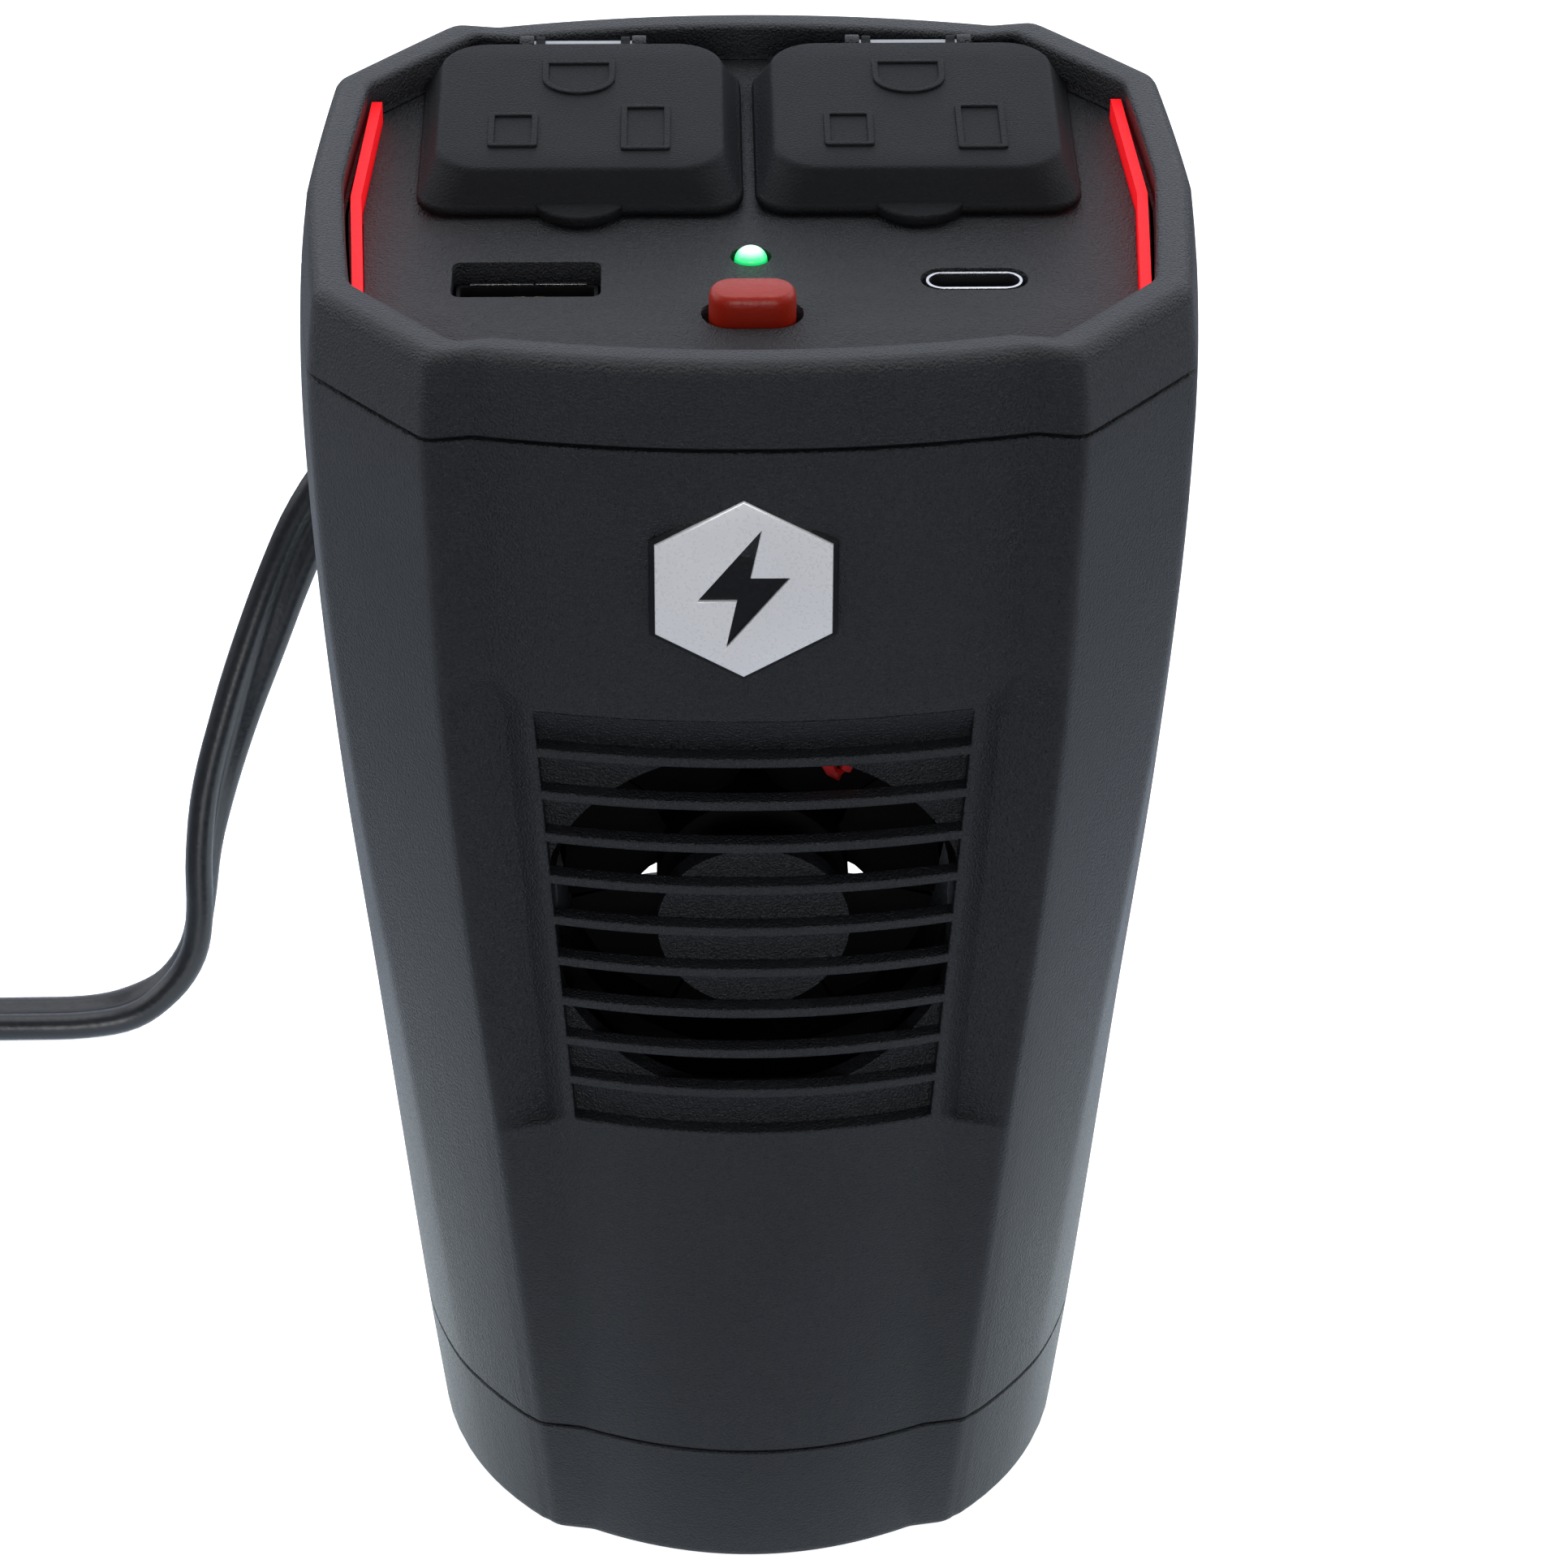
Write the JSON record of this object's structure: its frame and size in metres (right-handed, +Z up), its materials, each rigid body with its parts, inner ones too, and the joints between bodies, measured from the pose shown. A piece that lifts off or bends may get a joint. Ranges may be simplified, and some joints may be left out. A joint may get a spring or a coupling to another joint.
{
  "type": "power inverter",
  "caption": "Cup-holder power inverter: tapered can with covered mains outlets, USB ports, power button and fan, fed by a lead with a vehicle socket plug.",
  "frame": {"origin": "middle of the base, on the surface the can stands on", "axes": "+X to the right of someone facing the grille, -Y out of the grille, +Z up"},
  "size_m": [0.2305, 0.125, 0.1438],
  "materials": {
    "housing_plastic": "fine pebbled texture",
    "cover_rubber": "matt",
    "black_plastic": "satin",
    "orange_button": "satin",
    "red_strip": "gloss",
    "polished_metal": "polished",
    "green_lens": "translucent",
    "steel": "bright",
    "gold_contact": "plated",
    "circuit_board": "solder mask",
    "ferrite": "ground",
    "winding_tape": "polyester tape",
    "capacitor_sleeve": "shrunk sleeve",
    "copper_wire": "enamelled",
    "aluminium": "extruded",
    "chip_resin": "moulded",
    "fuse_plastic": "translucent",
    "red_wire": "PVC",
    "black_wire": "PVC",
    "cord_rubber": "satin PVC",
    "fuse_glass": "clear"
  },
  "bodies": {
    "housing": {"front_shell": "housing_plastic", "rear_shell": "housing_plastic", "top_cap": "housing_plastic", "base_cap": "housing_plastic", "accent_strip_left": "red_strip", "accent_strip_right": "red_strip", "badge_plate": "polished_metal", "status_led": "green_lens", "led_leads": "steel", "usb_a_shell": "steel", "usb_a_tongue": "black_plastic", "usb_a_contacts": "gold_contact", "usb_c_shell": "steel", "usb_c_tongue": "black_plastic", "outlet_left": "black_plastic", "outlet_right": "black_plastic", "outlet_contacts_left": "gold_contact", "outlet_contacts_right": "gold_contact", "switch_body": "black_plastic", "button_spring": "steel", "usb_board": "circuit_board", "main_board": "circuit_board", "transformer_core": "ferrite", "transformer_winding": "winding_tape", "high_voltage_capacitor": "capacitor_sleeve", "input_capacitors": "capacitor_sleeve", "choke": "copper_wire", "heatsink": "aluminium", "transistors": "chip_resin", "board_fuse": "fuse_plastic", "fan_frame": "black_plastic", "fan_wire_red": "red_wire", "fan_wire_black": "black_wire", "cap_screws": "steel", "case_screws": "steel", "base_screws": "steel", "hinge_pin_left": "steel", "hinge_pin_right": "steel", "strain_relief": "cord_rubber", "lead_tube": "cord_rubber", "lead_coil": "cord_rubber", "lead_tail": "cord_rubber", "coil_tie": "black_plastic", "plug_boot": "cord_rubber", "plug_handle": "black_plastic", "plug_nose": "black_plastic", "plug_ring": "black_plastic", "plug_spring": "steel"},
    "power_button": {"power_button": "orange_button"},
    "cover_left": {"cover_left": "cover_rubber"},
    "cover_right": {"cover_right": "cover_rubber"},
    "fan_rotor": {"fan_rotor": "black_plastic", "fan_shaft": "steel"},
    "plug_tip": {"plug_tip": "steel", "plug_fuse": "fuse_glass"},
    "plug_contact_front": {"plug_contact_front": "steel"},
    "plug_contact_back": {"plug_contact_back": "steel"}
  },
  "joints": [
    {"name": "power_button_press", "type": "slide", "parent": "housing", "child": "power_button", "axis": [0, 0, -1], "range_m": [0, 0.0018], "stiffness_N_per_m": 300, "springref_m": -0.001, "deforming": ["button_spring"]},
    {"name": "cover_left_hinge", "type": "hinge", "parent": "housing", "child": "cover_left", "pos_m": [-0.01595, 0.0293, 0.1424], "axis": [-1, 0, 0], "range_deg": [0, 110]},
    {"name": "cover_right_hinge", "type": "hinge", "parent": "housing", "child": "cover_right", "pos_m": [0.01595, 0.0293, 0.1424], "axis": [-1, 0, 0], "range_deg": [0, 110]},
    {"name": "fan_spin", "type": "hinge", "parent": "housing", "child": "fan_rotor", "pos_m": [0, -0.0225, 0.0815], "axis": [0, -1, 0], "continuous": true},
    {"name": "plug_tip_press", "type": "slide", "parent": "housing", "child": "plug_tip", "axis": [-1, 0, 0], "range_m": [0, 0.003], "stiffness_N_per_m": 800, "springref_m": -0.001, "deforming": ["plug_spring"]},
    {"name": "plug_contact_front_press", "type": "slide", "parent": "housing", "child": "plug_contact_front", "axis": [0, 1, 0], "range_m": [0, 0.0013], "stiffness_N_per_m": 600, "springref_m": -0.001},
    {"name": "plug_contact_back_press", "type": "slide", "parent": "housing", "child": "plug_contact_back", "axis": [0, -1, 0], "range_m": [0, 0.0013], "stiffness_N_per_m": 600, "springref_m": -0.001}
  ]
}
